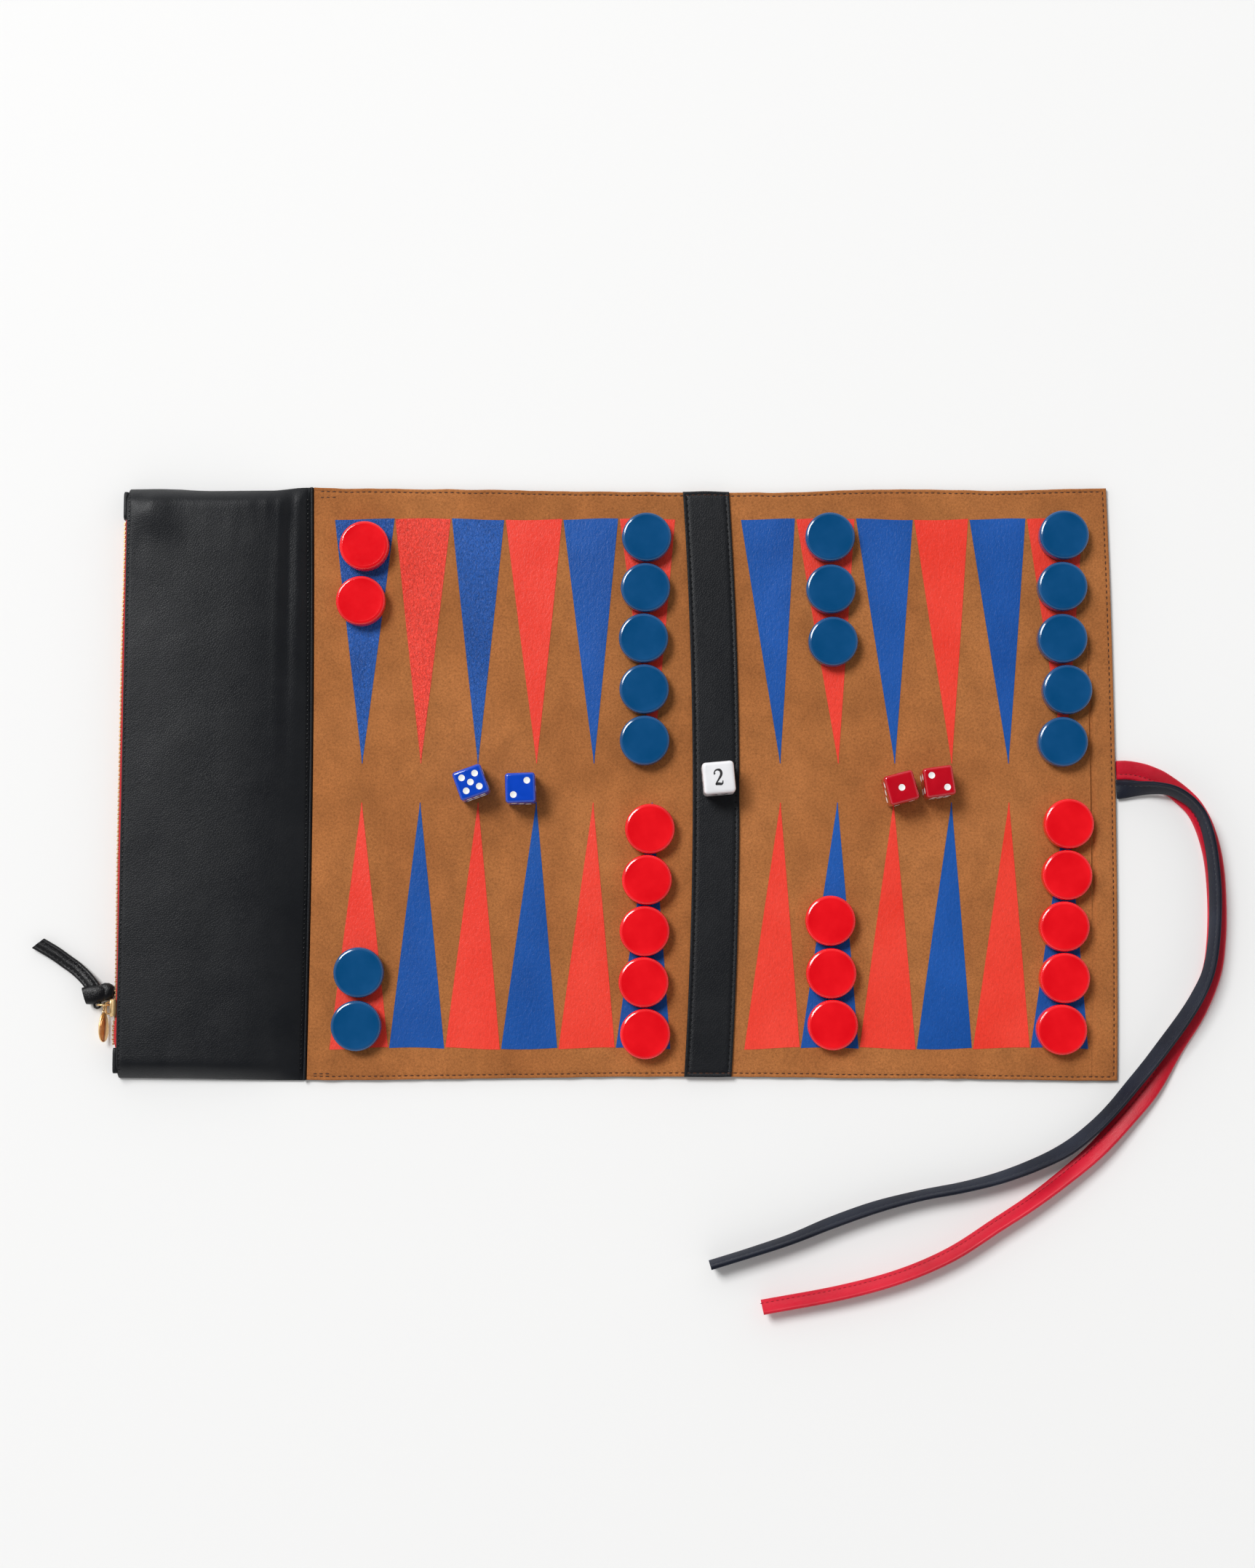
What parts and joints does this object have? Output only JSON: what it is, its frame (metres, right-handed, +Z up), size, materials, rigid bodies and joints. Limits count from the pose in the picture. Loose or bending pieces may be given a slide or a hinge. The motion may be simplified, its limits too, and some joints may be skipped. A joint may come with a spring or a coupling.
{
  "type": "roll-up travel backgammon set",
  "caption": "Roll-up backgammon set laid open: suede playing mat with a leather bar, zipped leather end pouch, tie straps, round men, dice and a doubling cube set out for play.",
  "frame": {"origin": "centre of the bounding box without the tie straps, on the table plane under the mat", "axes": "+X along the mat from the zipped pouch to the tie straps, +Y across the mat, away from the zip slider's end, +Z up from the playing surface"},
  "size_m": [0.5999, 0.4111, 0.0199],
  "materials": {
    "tan_suede": "matt suede nap",
    "black_leather": "fine grain, low sheen",
    "red_leather": "fine grain, low sheen",
    "navy_leather": "fine grain, low sheen",
    "red_men_plastic": "polished",
    "blue_men_plastic": "polished",
    "red_dice_plastic": "polished",
    "blue_dice_plastic": "polished",
    "white_plastic": "polished",
    "red_tape": "woven tape",
    "gold_metal": "polished gold-coloured plate"
  },
  "bodies": {
    "board_right": {"board_right_backing": "black_leather", "board_right_suede": "tan_suede", "tie_strap_navy": "navy_leather", "tie_strap_red": "red_leather"},
    "bar": {"bar_backing": "black_leather", "bar_suede": "tan_suede", "bar_leather_strip": "black_leather"},
    "board_left": {"board_left_backing": "black_leather", "board_left_suede": "tan_suede"},
    "pouch": {"pouch_back_panel": "black_leather", "pouch_top_panel": "black_leather", "pouch_seam_welt": "black_leather", "zip_tape_upper": "red_tape", "zip_tape_lower": "red_tape", "zip_teeth_upper": "gold_metal", "zip_teeth_lower": "gold_metal", "zip_end_tab_near": "black_leather", "zip_end_tab_far": "black_leather"},
    "slider": {"zip_slider": "gold_metal"},
    "pull_ring": {"pull_ring": "gold_metal"},
    "charm": {"charm_ring": "gold_metal", "charm": "gold_metal"},
    "pull": {"pull_knot": "black_leather", "leather_pull": "black_leather"},
    "die_blue_1": {"die_blue_1": "blue_dice_plastic"},
    "die_blue_2": {"die_blue_2": "blue_dice_plastic"},
    "die_red_1": {"die_red_1": "red_dice_plastic"},
    "die_red_2": {"die_red_2": "red_dice_plastic"},
    "doubling_cube": {"doubling_cube": "white_plastic"},
    "man_red_01": {"man_red_01": "red_men_plastic"},
    "man_red_02": {"man_red_02": "red_men_plastic"},
    "man_red_03": {"man_red_03": "red_men_plastic"},
    "man_red_04": {"man_red_04": "red_men_plastic"},
    "man_red_05": {"man_red_05": "red_men_plastic"},
    "man_red_06": {"man_red_06": "red_men_plastic"},
    "man_red_07": {"man_red_07": "red_men_plastic"},
    "man_blue_01": {"man_blue_01": "blue_men_plastic"},
    "man_blue_02": {"man_blue_02": "blue_men_plastic"},
    "man_blue_03": {"man_blue_03": "blue_men_plastic"},
    "man_blue_04": {"man_blue_04": "blue_men_plastic"},
    "man_blue_05": {"man_blue_05": "blue_men_plastic"},
    "man_blue_06": {"man_blue_06": "blue_men_plastic"},
    "man_blue_07": {"man_blue_07": "blue_men_plastic"},
    "man_red_08": {"man_red_08": "red_men_plastic"},
    "man_red_09": {"man_red_09": "red_men_plastic"},
    "man_red_10": {"man_red_10": "red_men_plastic"},
    "man_red_11": {"man_red_11": "red_men_plastic"},
    "man_red_12": {"man_red_12": "red_men_plastic"},
    "man_red_13": {"man_red_13": "red_men_plastic"},
    "man_red_14": {"man_red_14": "red_men_plastic"},
    "man_red_15": {"man_red_15": "red_men_plastic"},
    "man_blue_08": {"man_blue_08": "blue_men_plastic"},
    "man_blue_09": {"man_blue_09": "blue_men_plastic"},
    "man_blue_10": {"man_blue_10": "blue_men_plastic"},
    "man_blue_11": {"man_blue_11": "blue_men_plastic"},
    "man_blue_12": {"man_blue_12": "blue_men_plastic"},
    "man_blue_13": {"man_blue_13": "blue_men_plastic"},
    "man_blue_14": {"man_blue_14": "blue_men_plastic"},
    "man_blue_15": {"man_blue_15": "blue_men_plastic"}
  },
  "joints": [
    {"name": "bar_fold", "type": "hinge", "parent": "board_right", "child": "bar", "pos_m": [0.0821, 0, 0.0024], "axis": [0, -1, 0], "range_deg": [-87, 0]},
    {"name": "board_fold", "type": "hinge", "parent": "bar", "child": "board_left", "pos_m": [0.058, 0, 0.0024], "axis": [0, -1, 0], "range_deg": [-87, 0]},
    {"name": "pouch_fold", "type": "hinge", "parent": "board_left", "child": "pouch", "pos_m": [-0.133, 0, 0.0024], "axis": [0, 1, 0], "range_deg": [0, 90]},
    {"name": "slider_travel", "type": "slide", "parent": "pouch", "child": "slider", "axis": [0, 1, 0], "range_m": [-0.012, 0.238]},
    {"name": "ring_swing", "type": "hinge", "parent": "slider", "child": "pull_ring", "pos_m": [-0.2327, -0.1125, 0.0055], "axis": [0, 1, 0], "range_deg": [0, 40]},
    {"name": "charm_swing", "type": "hinge", "parent": "pull_ring", "child": "charm", "pos_m": [-0.2341, -0.111, 0.0026], "axis": [-1, 0, 0], "range_deg": [0, 22]},
    {"name": "pull_swing", "type": "hinge", "parent": "pull_ring", "child": "pull", "pos_m": [-0.237, -0.111, 0.0055], "axis": [0, 0, 1], "range_deg": [0, 80]},
    {"name": "take_off_die_blue_1", "type": "slide", "parent": "board_left", "child": "die_blue_1", "axis": [0, 0, 1], "range_m": [0, 0.03]},
    {"name": "take_off_die_blue_2", "type": "slide", "parent": "board_left", "child": "die_blue_2", "axis": [0, 0, 1], "range_m": [0, 0.03]},
    {"name": "take_off_die_red_1", "type": "slide", "parent": "board_right", "child": "die_red_1", "axis": [0, 0, 1], "range_m": [0, 0.03]},
    {"name": "take_off_die_red_2", "type": "slide", "parent": "board_right", "child": "die_red_2", "axis": [0, 0, 1], "range_m": [0, 0.03]},
    {"name": "take_off_doubling_cube", "type": "slide", "parent": "bar", "child": "doubling_cube", "axis": [0, 0, 1], "range_m": [0, 0.03]},
    {"name": "take_off_man_red_01", "type": "slide", "parent": "board_left", "child": "man_red_01", "axis": [0, 0, 1], "range_m": [0, 0.03]},
    {"name": "take_off_man_red_02", "type": "slide", "parent": "board_left", "child": "man_red_02", "axis": [0, 0, 1], "range_m": [0, 0.03]},
    {"name": "take_off_man_red_03", "type": "slide", "parent": "board_left", "child": "man_red_03", "axis": [0, 0, 1], "range_m": [0, 0.03]},
    {"name": "take_off_man_red_04", "type": "slide", "parent": "board_left", "child": "man_red_04", "axis": [0, 0, 1], "range_m": [0, 0.03]},
    {"name": "take_off_man_red_05", "type": "slide", "parent": "board_left", "child": "man_red_05", "axis": [0, 0, 1], "range_m": [0, 0.03]},
    {"name": "take_off_man_red_06", "type": "slide", "parent": "board_left", "child": "man_red_06", "axis": [0, 0, 1], "range_m": [0, 0.03]},
    {"name": "take_off_man_red_07", "type": "slide", "parent": "board_left", "child": "man_red_07", "axis": [0, 0, 1], "range_m": [0, 0.03]},
    {"name": "take_off_man_blue_01", "type": "slide", "parent": "board_left", "child": "man_blue_01", "axis": [0, 0, 1], "range_m": [0, 0.03]},
    {"name": "take_off_man_blue_02", "type": "slide", "parent": "board_left", "child": "man_blue_02", "axis": [0, 0, 1], "range_m": [0, 0.03]},
    {"name": "take_off_man_blue_03", "type": "slide", "parent": "board_left", "child": "man_blue_03", "axis": [0, 0, 1], "range_m": [0, 0.03]},
    {"name": "take_off_man_blue_04", "type": "slide", "parent": "board_left", "child": "man_blue_04", "axis": [0, 0, 1], "range_m": [0, 0.03]},
    {"name": "take_off_man_blue_05", "type": "slide", "parent": "board_left", "child": "man_blue_05", "axis": [0, 0, 1], "range_m": [0, 0.03]},
    {"name": "take_off_man_blue_06", "type": "slide", "parent": "board_left", "child": "man_blue_06", "axis": [0, 0, 1], "range_m": [0, 0.03]},
    {"name": "take_off_man_blue_07", "type": "slide", "parent": "board_left", "child": "man_blue_07", "axis": [0, 0, 1], "range_m": [0, 0.03]},
    {"name": "take_off_man_red_08", "type": "slide", "parent": "board_right", "child": "man_red_08", "axis": [0, 0, 1], "range_m": [0, 0.03]},
    {"name": "take_off_man_red_09", "type": "slide", "parent": "board_right", "child": "man_red_09", "axis": [0, 0, 1], "range_m": [0, 0.03]},
    {"name": "take_off_man_red_10", "type": "slide", "parent": "board_right", "child": "man_red_10", "axis": [0, 0, 1], "range_m": [0, 0.03]},
    {"name": "take_off_man_red_11", "type": "slide", "parent": "board_right", "child": "man_red_11", "axis": [0, 0, 1], "range_m": [0, 0.03]},
    {"name": "take_off_man_red_12", "type": "slide", "parent": "board_right", "child": "man_red_12", "axis": [0, 0, 1], "range_m": [0, 0.03]},
    {"name": "take_off_man_red_13", "type": "slide", "parent": "board_right", "child": "man_red_13", "axis": [0, 0, 1], "range_m": [0, 0.03]},
    {"name": "take_off_man_red_14", "type": "slide", "parent": "board_right", "child": "man_red_14", "axis": [0, 0, 1], "range_m": [0, 0.03]},
    {"name": "take_off_man_red_15", "type": "slide", "parent": "board_right", "child": "man_red_15", "axis": [0, 0, 1], "range_m": [0, 0.03]},
    {"name": "take_off_man_blue_08", "type": "slide", "parent": "board_right", "child": "man_blue_08", "axis": [0, 0, 1], "range_m": [0, 0.03]},
    {"name": "take_off_man_blue_09", "type": "slide", "parent": "board_right", "child": "man_blue_09", "axis": [0, 0, 1], "range_m": [0, 0.03]},
    {"name": "take_off_man_blue_10", "type": "slide", "parent": "board_right", "child": "man_blue_10", "axis": [0, 0, 1], "range_m": [0, 0.03]},
    {"name": "take_off_man_blue_11", "type": "slide", "parent": "board_right", "child": "man_blue_11", "axis": [0, 0, 1], "range_m": [0, 0.03]},
    {"name": "take_off_man_blue_12", "type": "slide", "parent": "board_right", "child": "man_blue_12", "axis": [0, 0, 1], "range_m": [0, 0.03]},
    {"name": "take_off_man_blue_13", "type": "slide", "parent": "board_right", "child": "man_blue_13", "axis": [0, 0, 1], "range_m": [0, 0.03]},
    {"name": "take_off_man_blue_14", "type": "slide", "parent": "board_right", "child": "man_blue_14", "axis": [0, 0, 1], "range_m": [0, 0.03]},
    {"name": "take_off_man_blue_15", "type": "slide", "parent": "board_right", "child": "man_blue_15", "axis": [0, 0, 1], "range_m": [0, 0.03]}
  ],
  "couplings": [
    {"joint": "board_fold", "follows": "bar_fold", "ratio": 1}
  ]
}
